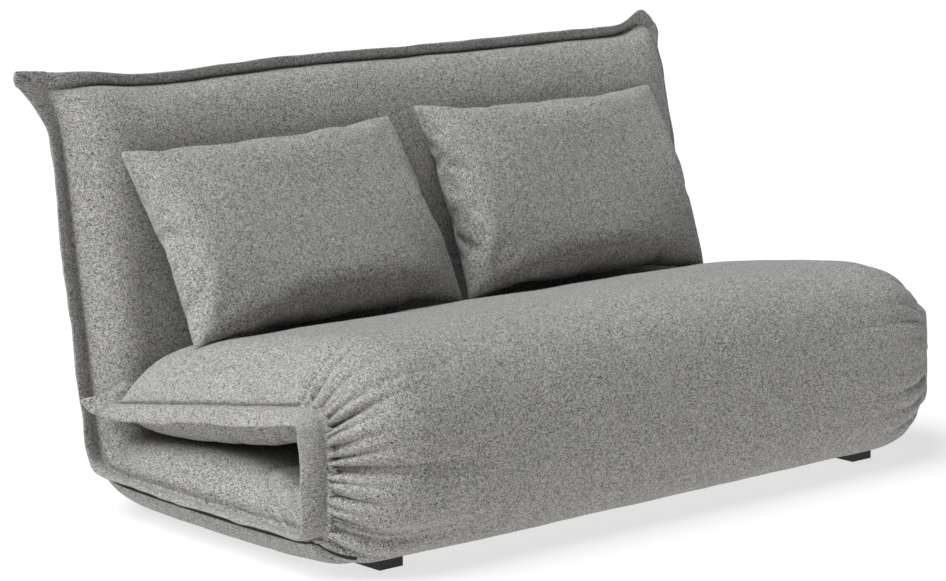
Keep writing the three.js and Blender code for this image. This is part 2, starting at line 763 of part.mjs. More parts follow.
// A knife-edged pillow standing on its long edge: y = 0 is its seam plane and z = 0 its lower edge.
function pillow() {
  const points = [];
  for (const sx of [-1, 1])
    for (const sz of [-1, 1])
      for (const sy of [-1, 1]) {
        const x = (sx * PILLOW_WIDTH) / 2;
        const z = (sz * PILLOW_HEIGHT) / 2;
        points.push(new THREE.Vector3(x, (sy * PILLOW_EDGE) / 2, z));
        const y = sy > 0 ? PILLOW_REAR : -PILLOW_FRONT;
        points.push(new THREE.Vector3(PILLOW_FACE * x, y, PILLOW_FACE * z));
      }
  return solid(new ConvexGeometry(points)).translate([0, 0, PILLOW_HEIGHT / 2]);
}

// Stands a pillow on the seat's top and leans it on the back's front face.
function leaningPillow({ name, x, lean }) {
  const slope = Math.tan(rad(SEAT_SLOPE));
  const seatTop =
    HINGE_HEIGHT + FRONT_LENGTH + (SEAT_OUTER + PILLOW_SEAT_GAP) / Math.cos(rad(SEAT_SLOPE));
  const rise = Math.tan(rad(BACK_LEAN));
  const backFace = BASE_LENGTH - (BACK_INNER + PILLOW_BACK_GAP) / Math.cos(rad(BACK_LEAN));
  // lower edge (y, seatTop - slope y), upper edge PILLOW_HEIGHT further along the lean, on the back's face
  const up = PILLOW_HEIGHT * Math.cos(rad(lean));
  const over = PILLOW_HEIGHT * Math.sin(rad(lean));
  const y = (backFace + rise * (seatTop + up - HINGE_HEIGHT) - over) / (1 + rise * slope);
  const mesh = meshOf(name, pillow(), fabric);
  mesh.position.set(x, y, seatTop - slope * y);
  mesh.rotation.x = -rad(lean);
  return mesh;
}

const sofa = new THREE.Group();
sofa.add(baseSection(), backSection(), frontSection(), seatSection());
for (const p of PILLOWS) sofa.add(leaningPillow(p));

// The origin is on the floor, below the middle of the whole.
sofa.updateMatrixWorld(true);
const box = new THREE.Box3().setFromObject(sofa, true);
sofa.position.set(-(box.min.x + box.max.x) / 2, -(box.min.y + box.max.y) / 2, -box.min.z);

export default sofa;
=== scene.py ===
import json
import math

import bmesh
import bpy
import numpy as np
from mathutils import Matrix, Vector


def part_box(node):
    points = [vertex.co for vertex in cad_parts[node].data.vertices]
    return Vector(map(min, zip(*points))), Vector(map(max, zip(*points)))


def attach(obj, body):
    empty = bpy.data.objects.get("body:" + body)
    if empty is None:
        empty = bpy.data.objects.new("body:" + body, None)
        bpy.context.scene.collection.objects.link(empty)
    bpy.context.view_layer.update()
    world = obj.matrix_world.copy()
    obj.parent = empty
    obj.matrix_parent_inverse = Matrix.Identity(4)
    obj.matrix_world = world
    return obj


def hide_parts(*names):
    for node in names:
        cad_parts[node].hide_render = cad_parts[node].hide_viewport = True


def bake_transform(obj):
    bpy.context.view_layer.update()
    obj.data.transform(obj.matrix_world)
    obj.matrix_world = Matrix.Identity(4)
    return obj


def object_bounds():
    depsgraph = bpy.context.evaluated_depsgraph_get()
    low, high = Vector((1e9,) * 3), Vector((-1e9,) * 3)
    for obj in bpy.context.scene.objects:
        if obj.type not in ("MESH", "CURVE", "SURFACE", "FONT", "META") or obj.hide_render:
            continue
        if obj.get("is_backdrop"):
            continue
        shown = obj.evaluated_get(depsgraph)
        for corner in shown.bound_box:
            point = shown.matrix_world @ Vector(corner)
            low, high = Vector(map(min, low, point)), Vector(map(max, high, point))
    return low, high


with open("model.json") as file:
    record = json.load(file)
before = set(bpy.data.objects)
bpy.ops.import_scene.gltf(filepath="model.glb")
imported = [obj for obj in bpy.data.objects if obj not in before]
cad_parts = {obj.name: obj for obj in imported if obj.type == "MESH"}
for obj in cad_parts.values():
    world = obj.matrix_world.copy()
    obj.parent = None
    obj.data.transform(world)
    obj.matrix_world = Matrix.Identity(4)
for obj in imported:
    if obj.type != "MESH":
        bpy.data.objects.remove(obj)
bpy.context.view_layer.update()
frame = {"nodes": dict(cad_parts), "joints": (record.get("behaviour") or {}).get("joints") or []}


# The four tube frames, one in each section of the strip. Bent and welded round steel tube with
# a black powder coat: even, satin, with the faint orange peel that baked powder keeps.
MM = 0.001


def linear(code):
    """An sRGB hex colour as the linear colour that the shaders take."""
    levels = [int(code[i:i + 2], 16) / 255 for i in (1, 3, 5)]
    return [v / 12.92 if v <= 0.04045 else ((v + 0.055) / 1.055) ** 2.4 for v in levels] + [1.0]


def node(tree, kind, options=None, sockets=None):
    """Adds one shader node, with its options and with its sockets' values or the outputs that feed them."""
    made = tree.nodes.new("ShaderNode" + kind)
    for option, value in (options or {}).items():
        setattr(made, option, value)
    for socket, value in (sockets or {}).items():
        if isinstance(value, bpy.types.NodeSocket):
            tree.links.new(value, made.inputs[socket])
        else:
            made.inputs[socket].default_value = value
    return made


def finish(name):
    """A new material, its node tree, and the shader that the finish is written on."""
    made = bpy.data.materials.new(name)
    made.use_nodes = True
    return made, made.node_tree, made.node_tree.nodes["Principled BSDF"]


def coat(material, *names):
    """Gives CAD nodes that stay in view their finish."""
    for name in names:
        kept = frame["nodes"][name]
        kept.data.materials.clear()
        kept.data.materials.append(material)


powder, tree, shader = finish("powder_coated_steel")
place = node(tree, "TexCoord")
peel = node(tree, "TexNoise", sockets={
    "Vector": place.outputs["Object"], "Scale": 1 / (2.5 * MM), "Detail": 2.0})
shade = node(tree, "Mix", {"data_type": "RGBA"}, {
    0: peel.outputs[0], 6: linear("#1E1F21"), 7: linear("#2A2B2E")})
rough = node(tree, "MapRange", sockets={"Value": peel.outputs[0], "To Min": 0.38, "To Max": 0.5})
bump = node(tree, "Bump", sockets={"Height": peel.outputs[0], "Distance": 0.1 * MM, "Strength": 0.5})
tree.links.new(shade.outputs[2], shader.inputs["Base Color"])
tree.links.new(rough.outputs[0], shader.inputs["Roughness"])
tree.links.new(bump.outputs[0], shader.inputs["Normal"])
coat(powder, "base_frame", "back_frame", "front_frame", "seat_frame")


# The elastic straps across the frames, which carry the foam. Rubber threads in a black woven
# polypropylene jacket: a ribbed tape with a soft grey bloom on the ribs.
webbing, tree, shader = finish("woven_elastic_webbing")
place = node(tree, "TexCoord")
ribs = node(tree, "TexWave", {"bands_direction": "X"}, {
    "Vector": place.outputs["Object"], "Scale": 1 / (20 * 3.0 * MM), "Distortion": 0.6, "Detail": 1.0})
shade = node(tree, "Mix", {"data_type": "RGBA"}, {
    0: ribs.outputs["Fac"], 6: linear("#17171A"), 7: linear("#2B2B2F")})
bump = node(tree, "Bump", sockets={"Height": ribs.outputs["Fac"], "Distance": 0.4 * MM, "Strength": 0.8})
tree.links.new(shade.outputs[2], shader.inputs["Base Color"])
tree.links.new(bump.outputs[0], shader.inputs["Normal"])
shader.inputs["Roughness"].default_value = 0.85
coat(webbing, "base_webbing", "back_webbing", "seat_webbing")


# The pressed hinge lugs and the ratchets' housings. Mild steel with bright zinc plating: pale
# blue-grey, lightly cloudy, with the fine roll lines of the sheet.
SIDES = ("left", "right")
zinc, tree, shader = finish("zinc_plated_steel")
place = node(tree, "TexCoord")
cloud = node(tree, "TexNoise", sockets={
    "Vector": place.outputs["Object"], "Scale": 1 / (9 * MM), "Detail": 4.0})
roll = node(tree, "Mapping", sockets={
    "Vector": place.outputs["Object"], "Scale": (1 / (0.6 * MM), 1 / (8 * MM), 1 / (0.6 * MM))})
lines = node(tree, "TexNoise", sockets={"Vector": roll.outputs[0], "Scale": 1.0, "Detail": 1.0})
shade = node(tree, "Mix", {"data_type": "RGBA"}, {
    0: cloud.outputs[0], 6: linear("#AEB6BC"), 7: linear("#C9CED2")})
rough = node(tree, "MapRange", sockets={"Value": cloud.outputs[0], "To Min": 0.28, "To Max": 0.46})
bump = node(tree, "Bump", sockets={"Height": lines.outputs[0], "Distance": 0.03 * MM, "Strength": 0.5})
tree.links.new(shade.outputs[2], shader.inputs["Base Color"])
tree.links.new(rough.outputs[0], shader.inputs["Roughness"])
tree.links.new(bump.outputs[0], shader.inputs["Normal"])
shader.inputs["Metallic"].default_value = 1.0
for side in SIDES:
    coat(zinc, f"front_hinge_lug_base_{side}", f"front_hinge_lug_front_{side}",
         f"seat_hinge_lug_front_{side}", f"seat_hinge_lug_seat_{side}", f"ratchet_housing_{side}")


# The ratchet wheels, pawls, springs and every pin. Hardened steel, blackened by quenching in
# oil: dark, with brown heat patches, and brighter where the grinding shows.
hardened, tree, shader = finish("oil_blackened_hardened_steel")
place = node(tree, "TexCoord")
scale_marks = node(tree, "TexNoise", sockets={
    "Vector": place.outputs["Object"], "Scale": 1 / (6 * MM), "Detail": 5.0, "Roughness": 0.6})
shade = node(tree, "Mix", {"data_type": "RGBA"}, {
    0: scale_marks.outputs[0], 6: linear("#4C4A48"), 7: linear("#7A7876")})
rough = node(tree, "MapRange", sockets={"Value": scale_marks.outputs[0], "To Min": 0.32, "To Max": 0.55})
tree.links.new(shade.outputs[2], shader.inputs["Base Color"])
tree.links.new(rough.outputs[0], shader.inputs["Roughness"])
shader.inputs["Metallic"].default_value = 1.0
for side in SIDES:
    coat(hardened, f"front_hinge_pin_{side}", f"seat_hinge_pin_{side}", f"ratchet_axle_{side}",
         f"ratchet_wheel_{side}", f"pawl_{side}", f"pawl_pin_{side}", f"pawl_spring_{side}")


# The four feet, which come through the cover and are screwed to the base frame. Moulded black
# polypropylene with a spark-eroded grain: near black, matt, faintly brown at the edges.
foot_plastic, tree, shader = finish("moulded_polypropylene")
place = node(tree, "TexCoord")
grain = node(tree, "TexNoise", sockets={
    "Vector": place.outputs["Object"], "Scale": 1 / (0.9 * MM), "Detail": 2.0})
shade = node(tree, "Mix", {"data_type": "RGBA"}, {
    0: grain.outputs[0], 6: linear("#1B1816"), 7: linear("#2A2624")})
bump = node(tree, "Bump", sockets={"Height": grain.outputs[0], "Distance": 0.12 * MM, "Strength": 0.6})
tree.links.new(shade.outputs[2], shader.inputs["Base Color"])
tree.links.new(bump.outputs[0], shader.inputs["Normal"])
shader.inputs["Roughness"].default_value = 0.6
coat(foot_plastic, *(f"foot_{end}_{side}" for end in ("front", "rear") for side in SIDES))


# The padded cover, one long sleeve over the foam of all four sections: seat, front, base and
# back. Grey melange woven polyester, sewn round its rim with a flat flange three centimetres
# wide. It is made here in three lengths, each over one hinge, that meet inside the front and
# under the base.
hinge = {joint["name"]: joint for joint in frame["joints"]}
FOLD = hinge["front_fold"]["pos_m"][1]
SEAM = 670 * MM  # from the middle to the seam at each end
FLANGE = 30 * MM
ROW_STEP = 4.6 * MM
# The strip's profile, from the seat's rear edge, over the front and along the base to the top of
# the back. Each line is one place along it: the seam, the outer panel and the inner panel, each
# as millimetres behind the front fold and above the floor.
PROFILE = np.array([
    [(522, 187), (522, 187), (522, 187)],
    [(518, 188), (527, 213), (515, 165)],
    [(505, 190), (518, 246), (497, 150)],
    [(475, 195), (482, 272), (462, 144)],
    [(400, 207), (402, 294), (385, 147)],
    [(300, 223), (300, 316), (288, 158)],
    [(200, 238), (203, 334), (197, 171)],
    [(120, 251), (122, 348), (145, 182)],
    [(70, 259), (62, 357), (101, 195)],
    [(35, 263), (12, 357), (67, 206)],
    [(15, 257), (-35, 343), (49, 209)],
    [(4, 243), (-70, 314), (45, 198)],
    [(0, 220), (-92, 272), (48, 186)],
    [(0, 196), (-102, 228), (51, 174)],
    [(0, 174), (-104, 184), (53, 164)],
    [(0, 150), (-102, 140), (53, 159)],
    [(0, 122), (-93, 100), (50, 150)],
    [(1, 98), (-77, 64), (48, 139)],
    [(8, 79), (-52, 38), (56, 130)],
    [(24, 69), (-14, 22), (84, 132)],
    [(55, 67), (40, 14), (132, 141)],
    [(120, 67), (118, 10), (190, 144)],
    [(200, 67), (200, 10), (245, 145)],
    [(290, 67), (290, 10), (305, 144)],
    [(390, 67), (390, 10), (375, 140)],
    [(480, 68), (474, 11), (445, 134)],
    [(530, 70), (530, 15), (482, 131)],
    [(557, 75), (572, 28), (506, 132)],
    [(574, 87), (606, 52), (521, 141)],
    [(583, 105), (632, 84), (529, 157)],
    [(588, 130), (652, 122), (533, 177)],
    [(596, 175), (672, 176), (537, 215)],
    [(609, 250), (693, 246), (544, 278)],
    [(627, 350), (717, 346), (556, 366)],
    [(645, 450), (736, 446), (571, 461)],
    [(661, 540), (750, 536), (587, 550)],
    [(673, 605), (755, 600), (603, 614)],
    [(681, 648), (742, 654), (627, 657)],
    [(685, 669), (714, 678), (655, 677)],
    [(687, 678), (687, 678), (687, 678)],
], float) * MM
MID_FRONT, MID_BASE, HEAD = 14, 23, 39


def through(points, at):
    """A smooth curve through the points, at places counted in points."""
    first = np.clip(np.floor(at).astype(int), 0, len(points) - 2)
    part = (at - first).reshape(-1, *[1] * (points.ndim - 1))
    p0, p1 = points[np.maximum(first - 1, 0)], points[first]
    p2, p3 = points[first + 1], points[np.minimum(first + 2, len(points) - 1)]
    return 0.5 * (2 * p1 + (p2 - p0) * part + (2 * p0 - 5 * p1 + 4 * p2 - p3) * part ** 2
                  + (3 * p1 - p0 - 3 * p2 + p3) * part ** 3)


def ease(value, start, end):
    """Runs smoothly from 0 at start to 1 at end."""
    part = np.clip((value - start) / (end - start), 0, 1)
    return part * part * (3 - 2 * part)


def hump(value, centre, width):
    """A smooth bump of height 1."""
    return np.exp(-((value - centre) / width) ** 2)


def ripple(u, v, longest, seed):
    """Slow, uneven waves over the cloth, from -1 to 1."""
    random = np.random.default_rng(seed)
    total = 0
    for octave in range(6):
        turn, phase = random.uniform(0, math.pi), random.uniform(0, 2 * math.pi, 2)
        reach = longest / 1.45 ** octave
        along = (u * math.cos(turn) + v * math.sin(turn)) * 2 * math.pi / reach
        across = (v * math.cos(turn) - u * math.sin(turn)) * 2 * math.pi / (1.7 * reach)
        total = total + np.sin(along + phase[0]) * np.cos(across + phase[1]) / 1.3 ** octave
    return total / 3.0


# Rows of the strip: even steps along the longer panel, closer where the cloth is gathered, and
# with one row exactly where two lengths meet.
GATHERS_START, GATHERS_END, GATHERS_STEP = 8, 19, 0.55
fine = np.linspace(0, HEAD, 6000)
run = through(PROFILE, fine)
step = np.linalg.norm(np.diff(run, axis=0), axis=2).max(axis=1)
length = np.concatenate([[0], np.cumsum(step)])
places = []
for start, end, close in ((0, GATHERS_START, 1), (GATHERS_START, MID_FRONT, GATHERS_STEP),
                          (MID_FRONT, GATHERS_END, GATHERS_STEP), (GATHERS_END, MID_BASE, 1),
                          (MID_BASE, HEAD, 1)):
    low, high = np.interp([start, end], fine, length)
    count = int((high - low) / ROW_STEP / close) + 1
    places.append(np.interp(np.linspace(low, high, count), length, fine)[1 if start else 0:])
place_of = np.concatenate(places)
strip = through(PROFILE, place_of)
for _ in range(6):
    strip[1:-1] = (strip[:-2] + 2 * strip[1:-1] + strip[2:]) / 4
BEYOND = FLANGE * np.array([0.06, 0.16, 0.28, 0.42, 0.56, 0.7, 0.82, 0.92, 1.0])
extra = len(BEYOND)
seam, outer, inner = (np.concatenate([np.repeat(s[:1], extra, 0), s, np.repeat(s[-1:], extra, 0)])
                      for s in (strip[:, 0], strip[:, 1], strip[:, 2]))
place_of = np.concatenate([np.zeros(extra), place_of, np.full(extra, HEAD)])
beyond = np.concatenate([-BEYOND[::-1], np.zeros(len(strip)), BEYOND])
along = np.gradient(strip[:, 0], axis=0)
along /= np.linalg.norm(along, axis=1)[:, None]
along = np.concatenate([np.repeat(along[:1], extra, 0), along, np.repeat(along[-1:], extra, 0)])
outward = np.stack([along[:, 1], -along[:, 0]], 1)
for _ in range(30):
    outward[1:-1] = (outward[:-2] + 2 * outward[1:-1] + outward[2:]) / 4
outward *= np.sign((outward * (outer - seam)).sum(1).mean())
outward /= np.linalg.norm(outward, axis=1)[:, None]
seam_run = np.concatenate([[0], np.cumsum(np.linalg.norm(np.diff(seam, axis=0), axis=1))])
cloth_run = np.concatenate([[0], np.cumsum(np.linalg.norm(np.diff(outer, axis=0), axis=1))]) + beyond

# Columns of the strip: close together at both ends, where the cloth is gathered.
PAST_SEAM = 30 * np.array([0.025, 0.07, 0.15, 0.27, 0.42, 0.57, 0.71, 0.83, 0.93, 1.0])
half = np.concatenate([np.arange(0, 440, 14), np.arange(440, 600, 6), np.arange(600, 655, 3.6),
                       [656, 659, 662, 664.5, 666.6, 668.3, 669.3, 670], 670 + PAST_SEAM]) * MM
across = np.concatenate([-half[:0:-1], half])
end_of = np.sign(across)
inside = np.clip(SEAM - np.abs(across), 0, None)
past = np.clip(np.abs(across) - SEAM, 0, None)

# How the flange stands at each place: the angle it leans towards the inner panel, and its width.
LEAN_AT = [0, 1, 2.4, 3.8, 4.9, 6, 7, 9, 11, 12.5, 15, 17.5, 19, 21, 25, 27, 28.5, 31, 35, 38, 39]
LEAN = np.radians([40, 55, 64, 72, 48, 60, 60, 40, 24, 20, 18, 12, 4, 2, 2, 6, 16, 20, 22, 14, 8])
lean = np.interp(place_of, LEAN_AT, LEAN)[:, None] * np.ones(len(across))
lean += 0.2 * ripple(across[None, :] * 0.2, seam_run[:, None], 0.32, 5)
WIDE_AT = [0, 3, 8, 18, 21, 26.5, 28, 29.5, 34, 37.2, 39]
WIDE = [1, 1, 1.1, 1, 0.82, 0.82, 0.7, 0.9, 0.9, 0.62, 0.9]
wide = np.ones_like(lean) * np.interp(place_of, WIDE_AT, WIDE)[:, None]
wide *= 1 + 0.10 * ripple(end_of[None, :] * 0.7, seam_run[:, None], 0.17, 9)


# How far in from each end the panels go on rising, at each place: the right end is softer.
REACH_AT = [0, 6, 10, 14, 18, 22, 27, 33, 39]
INNER_REACH = [62, 66, 60, 45, 42, 46, 52, 84, 92]
REACH = {1: ([120, 135, 150, 140, 110, 62, 66, 100, 105], [120, 180, 215, 190, 200, 90, 66, 100, 105]),
         -1: (INNER_REACH, INNER_REACH)}
SEAT_DROOP = 0.15  # the share by which the seat's front edge is lower towards the right end
TOP_LEAN = math.radians(50)  # of the flange along the back's top, forwards
EDGE_HALF, PADDED_HALF = 1.0, 3.0  # half the flange's thickness at its edges, and the padding's part


def skin(side):
    """One panel with its half of the flange: side is 1 for the outer panel and -1 for the inner one."""
    target = outer if side > 0 else inner
    left, right = (np.interp(place_of, REACH_AT, values)[:, None] * MM for values in REACH[side])
    reach = np.where(across[None, :] > 0, right, left)
    near = np.clip(inside[None, :] / reach, 0, 1)
    rise = (1 - (1 - near) ** 2.7) ** (0.86 if side > 0 else 0.75)
    if side > 0:
        droop = ease(across, 120 * MM, 500 * MM)[None, :] * hump(place_of, 8.8, 3.2)[:, None]
        rise *= 1 - SEAT_DROOP * droop
    aside, ahead = past[None, :] + 0 * beyond[:, None], np.abs(beyond)[:, None] + 0 * past[None, :]
    puff = np.maximum(aside, ahead) / FLANGE
    rounding = (np.maximum(aside, ahead) / np.maximum(np.hypot(aside, ahead), 1e-9)) ** 0.7
    thick = side * (EDGE_HALF + PADDED_HALF * np.sin(math.pi * np.clip(puff, 0, 1)) ** 0.62) * MM
    out = aside * rounding * wide
    towards_ear = ease(np.abs(across), 570 * MM, 690 * MM)[None, :]
    tip = (beyond > 0)[:, None] * TOP_LEAN * (1 - 0.9 * towards_ear)
    up, lying = np.cos(tip)[:, :, None], np.sin(tip)[:, :, None]
    ends = np.where(beyond < 0, -1.0, 1.0)[:, None, None]
    onward, facing_out = along[:, None, :], outward[:, None, :]
    flat = seam[:, None, :] + (target - seam)[:, None, :] * rise[:, :, None]
    stands = (ahead * rounding * np.where(tip > 0, 0.9, 1.0))[:, :, None]
    flat = flat + (onward * ends * up - facing_out * lying) * stands
    flat = flat + (facing_out * up + onward * lying) * (thick * np.cos(lean))[:, :, None]
    flat = flat - facing_out * (out * np.sin(lean))[:, :, None]
    groove = hump(np.abs(across), SEAM, 1.5 * MM) * (7 + 5 * hump(place_of, 14, 4.5)[:, None]) * MM
    stand_off = out * np.cos(lean) + thick * np.sin(lean) * (past > 0)
    x = across - end_of * (past + groove) + end_of * stand_off
    return np.concatenate([x[:, :, None], flat], 2)


def facing(points, side):
    """The direction in which each point of a panel faces."""
    turned = np.cross(np.gradient(points, axis=1), np.gradient(points, axis=0))
    turned /= np.maximum(np.linalg.norm(turned, axis=2), 1e-12)[:, :, None]
    sense = np.sign((turned[:, :, 1:] * outward[:, None, :]).sum(2).mean())
    return turned * sense * side


def gather(points, folds, end):
    """How deep the gathers lie: each has its place, length, depth, drift along the seam and width."""
    gap = np.linalg.norm(np.diff(points, axis=1), axis=2)
    run = np.concatenate([np.zeros((len(points), 1)), np.cumsum(gap, axis=1)], axis=1)
    at_seam = np.argmin(np.abs(across - end * SEAM))
    reach = np.abs(run - run[:, at_seam:at_seam + 1])
    on_panel = (across * end < SEAM + 1e-6) & (across * end > 0)
    depth = np.zeros_like(reach)
    for place, long, deep, drift, narrow in folds:
        middle = np.interp(place, place_of, seam_run) + drift * reach
        aside = np.abs(seam_run[:, None] - middle) / (narrow + 0.02 * reach)
        depth += deep * np.exp(-aside ** 1.15 - (reach / long) ** 1.6)
    return depth * (1 - np.exp(-reach / (5 * MM))) * on_panel[None, :]


def folds_between(first, last, count, long, deep, drift, narrow, seed):
    """Uneven gathers between two places on the seam, sizes in millimetres."""
    random = np.random.default_rng(seed)
    made = []
    for number in range(count):
        place = first + (last - first) * (number + random.uniform(0.15, 0.85)) / count
        strong = random.uniform(0.35, 1.0)
        reach = long * MM * random.uniform(0.5, 1.5) * strong
        made.append((place, reach, deep * MM * strong, drift * random.uniform(-1, 1), narrow * MM))
    return made


outer_skin, inner_skin = skin(1), skin(-1)
# The cloth's own measure, which the weave follows.
measure = []
for panel in (outer_skin, inner_skin):
    over = np.linalg.norm(np.diff(panel, axis=1), axis=2)
    down = np.linalg.norm(np.diff(panel, axis=0), axis=2)
    over = np.concatenate([np.zeros((len(seam), 1)), np.cumsum(over, axis=1)], axis=1)
    down = np.concatenate([np.zeros((1, len(across))), np.cumsum(down, axis=0)], axis=0)
    middle = len(half) - 1
    measure.append(np.stack([over - over[:, middle:middle + 1], down[:, middle:middle + 1] + 0 * over], 2))
measure[1] += 3.0  # another stretch of the cloth
measure = np.stack(measure)
outer_face, inner_face = facing(outer_skin, 1), facing(inner_skin, -1)

# The gathers: first and last place, count, length, depth, drift, width, and the seed's step.
OUTER_GATHERS = (
    (8.3, 11.6, 6, 220, 17, 0.03, 4.2, 0),
    (11.4, 17.0, 13, 150, 22, 0.03, 2.6, 1),
    (16.8, 19.8, 6, 140, 18, 0.03, 2.6, 2),
    (10, 18.5, 14, 30, 7, 0.05, 2.6, 11),
    (21, 26, 7, 50, 3.0, 0.2, 2.6, 3),
    (1, 7, 7, 50, 1.4, 0.1, 2.6, 4),
    (30, 38.5, 12, 45, 2.2, 0.1, 2.6, 5),
)
INNER_GATHERS = (
    (4, 9.5, 11, 170, 9, 0.3, 2.6, 6),
    (19.3, 21.4, 3, 240, 14, 0.1, 6.0, 7),
    (21, 26, 7, 60, 1.6, 0.2, 2.6, 8),
    (30, 36.5, 14, 45, 2.4, 0.15, 2.2, 9),
    (36.5, 38.8, 5, 70, 3.5, 0.1, 2.6, 10),
)
outer_depth, inner_depth = 0, 0
for end, seed in ((-1, 11), (1, 31)):
    for group in OUTER_GATHERS:
        outer_depth = outer_depth + gather(outer_skin, folds_between(*group[:-1], seed + group[-1]), end)
    for group in INNER_GATHERS:
        inner_depth = inner_depth + gather(inner_skin, folds_between(*group[:-1], seed + group[-1]), end)

# The padding's slow unevenness, which fades out towards the seams.
soft = ease(inside[None, :], 0, 60 * MM) * np.ones((len(seam), 1))
swell = ripple(across[None, :], cloth_run[:, None], 0.42, 3) * 2.6 * MM * soft
outer_skin += outer_face * (swell - outer_depth)[:, :, None]
swell = ripple(across[None, :] + 3, cloth_run[:, None], 0.36, 4) * 2.2 * MM * soft
inner_skin += inner_face * (swell - inner_depth)[:, :, None]

# The ears at the back's top: how far the flange's corners stand out and up, in millimetres.
EARS = ((-1, 48, 12), (1, -6, -6))
from_top = seam_run - seam_run[-1] + beyond
up_the_back = np.where(place_of > MID_BASE, from_top, -1)[:, None]
near_end = ease(np.abs(across), 560 * MM, 650 * MM)[None, :]
behind_seat = ease(-beyond, 0, FLANGE)[:, None]
for panel in (outer_skin, inner_skin):
    for end, out, up in EARS:
        corner = (ease(across * end, SEAM - 20 * MM, SEAM + FLANGE)[None, :]
                  * ease(up_the_back, -75 * MM, 18 * MM))
        panel[:, :, 0] += corner * end * out * MM
        panel[:, :, 2] += corner * up * MM
    # The ear at the seat's rear left corner.
    corner = (ease(-across, SEAM - 10 * MM, SEAM + FLANGE)[None, :]
              * hump(seam_run + beyond, -FLANGE, 45 * MM)[:, None])
    panel[:, :, 0] -= corner * 26 * MM
    panel[:, :, 1] += corner * 18 * MM
    panel[:, :, 2] += corner * 14 * MM
    # Behind the seat the flange stands up near the ends, and between them it is tucked under.
    raised = 14 * near_end + 26 * hump(np.abs(across), 625 * MM, 38 * MM)[None, :]
    panel[:, :, 2] += behind_seat * raised * MM
    panel[:, :, 1] -= behind_seat * (1 - near_end) * 24 * MM
    # The back's top edge: a peak at the right ear, a dip beside the left one, and slow waves.
    peak = ease(from_top, -55 * MM, 10 * MM)[:, None] * hump(across, 645 * MM, 42 * MM)[None, :]
    dip = hump(across, -450 * MM, 130 * MM) - 0.6 * hump(across, -600 * MM, 50 * MM)
    waves = ripple(across[None, :], 0 * seam_run[:, None], 0.5, 21)
    panel[:, :, 2] += peak * 19 * MM
    panel[:, :, 2] -= ease(from_top, -60 * MM, 0)[:, None] * dip[None, :] * 8 * MM
    panel[:, :, 2] += ease(place_of, HEAD - 1.5, HEAD)[:, None] * waves * 3.5 * MM
    panel[:, :, 1] += FOLD

# At the top ears the flange is folded over, which leaves a mitre line across each of them.
aside, ahead = past[None, :] + 0 * beyond[:, None], np.clip(beyond, 0, None)[:, None] + 0 * past[None, :]
on_ear = ease(np.maximum(aside, ahead), 1 * MM, 8 * MM) * (ahead > 0)
inner_skin[:, :, 1] += hump(aside - 0.8 * ahead, 0, 2.4 * MM) * on_ear * 4.5 * MM


def melange(name, light, dark, pale):
    """Woven polyester of light and dark yarns, spun together unevenly, with a soft, slightly hairy face."""
    made, tree, shader = finish(name)
    cloth = node(tree, "UVMap", {"uv_map": "cloth"})
    # A yarn is 0.8 mm wide. It is drawn 1 mm wide, because a finer one doesn't show.
    floats = []
    for wide, long in ((1.0, 1.0), (1.0, 3.6), (3.6, 1.0)):
        laid = node(tree, "Mapping", sockets={
            "Vector": cloth.outputs[0], "Scale": (1 / (wide * MM), 1 / (long * MM), 1.0)})
        cell = node(tree, "VectorMath", {"operation": "FLOOR"}, {0: laid.outputs[0]})
        tone = node(tree, "TexWhiteNoise", {"noise_dimensions": "2D"}, {"Vector": cell.outputs[0]})
        floats.append(tone.outputs["Value"])
    crossed = node(tree, "Math", {"operation": "ADD"}, {0: floats[1], 1: floats[2]})
    woven = node(tree, "Math", {"operation": "MULTIPLY_ADD"}, {0: floats[0], 1: 3.0, 2: crossed.outputs[0]})
    mixed = node(tree, "MapRange", sockets={"Value": woven.outputs[0], "From Min": 0.95, "From Max": 4.05})
    speck = node(tree, "TexNoise", {"noise_dimensions": "2D"}, {
        "Vector": cloth.outputs[0], "Scale": 1 / (1.7 * MM), "Detail": 1.0, "Roughness": 0.6})
    shade = node(tree, "Mix", {"data_type": "RGBA"}, {
        0: mixed.outputs[0], 6: linear(dark), 7: linear(light)})
    drift = node(tree, "TexNoise", {"noise_dimensions": "2D"}, {
        "Vector": cloth.outputs[0], "Scale": 1 / (90 * MM), "Detail": 3.0})
    faint = node(tree, "MapRange", sockets={"Value": drift.outputs[0], "From Min": 0.3, "From Max": 0.7,
                                            "To Min": 0.0, "To Max": 0.16})
    toned = node(tree, "Mix", {"data_type": "RGBA"}, {
        0: faint.outputs[0], 6: shade.outputs[2], 7: linear(pale)})
    bump = node(tree, "Bump", sockets={"Height": speck.outputs[0], "Distance": 0.35 * MM, "Strength": 0.2})
    rough = node(tree, "MapRange", sockets={"Value": mixed.outputs[0], "To Min": 0.95, "To Max": 0.8})
    tree.links.new(toned.outputs[2], shader.inputs["Base Color"])
    tree.links.new(rough.outputs[0], shader.inputs["Roughness"])
    tree.links.new(bump.outputs[0], shader.inputs["Normal"])
    shader.inputs["Sheen Weight"].default_value = 0.1
    shader.inputs["Sheen Roughness"].default_value = 0.45
    shader.inputs["Specular IOR Level"].default_value = 0.25
    return made


